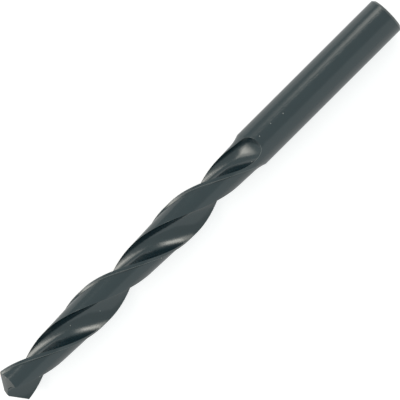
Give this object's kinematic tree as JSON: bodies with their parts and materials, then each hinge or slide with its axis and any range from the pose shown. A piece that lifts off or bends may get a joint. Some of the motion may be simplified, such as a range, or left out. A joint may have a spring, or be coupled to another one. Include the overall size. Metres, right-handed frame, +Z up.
{
  "type": "twist drill bit",
  "caption": "Straight-shank twist drill with two right-hand helical flutes, margins and a ground 118 degree point, for boring round holes in metal.",
  "frame": {"origin": "middle of the flat end face of the shank", "axes": "+X along the drill's axis, from the shank's end to the point; +Z up as the drill lies on its side"},
  "size_m": [0.133, 0.0102, 0.0102],
  "materials": {
    "tool_steel": "black oxide, semi-gloss, with fine grinding marks in the flutes"
  },
  "bodies": {
    "root": {"drill_bit": "tool_steel"}
  },
  "joints": []
}
